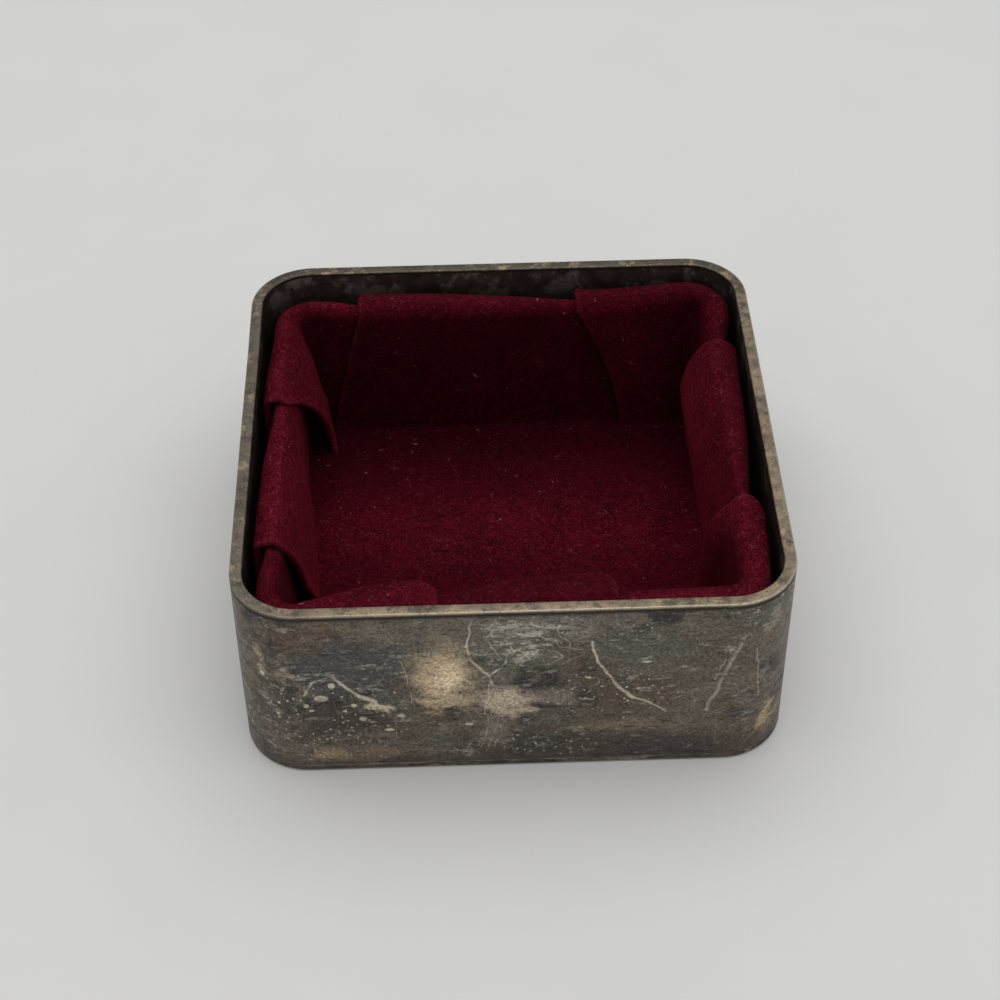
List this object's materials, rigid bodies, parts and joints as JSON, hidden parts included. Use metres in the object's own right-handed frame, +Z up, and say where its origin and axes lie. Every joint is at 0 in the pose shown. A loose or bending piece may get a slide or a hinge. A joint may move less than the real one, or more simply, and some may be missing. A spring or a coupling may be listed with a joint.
{
  "type": "stamp box",
  "caption": "Small square open metal box with rounded corners, a raised rim and a loose pleated velvet lining over card that lifts out.",
  "frame": {"origin": "middle of the underside of the base plate", "axes": "+Z up; the front, which the picture shows, faces -Y; +X to the right seen from the front"},
  "size_m": [0.054, 0.054, 0.022],
  "materials": {
    "plate_metal": "tarnished silver plate, finely brushed, satin",
    "rim_metal": "worn and polished silver plate over brass, satin",
    "card": "plain greyboard",
    "wadding": "soft cotton wadding",
    "velvet": "deep wine-red velvet with a short nap"
  },
  "bodies": {
    "case": {"side_band": "plate_metal", "base_plate": "plate_metal", "rim_wire": "rim_metal"},
    "lining": {"wall_card": "card", "floor_card": "card", "floor_wadding": "wadding", "floor_velvet": "velvet", "back_velvet": "velvet", "left_velvet": "velvet", "front_velvet": "velvet", "right_velvet": "velvet", "back_left_pleat": "velvet", "front_left_pleat": "velvet", "front_right_pleat": "velvet", "back_right_pleat": "velvet"}
  },
  "joints": [
    {"name": "lining_lift", "type": "slide", "parent": "case", "child": "lining", "axis": [0, 0, 1], "range_m": [0, 0.024]}
  ]
}
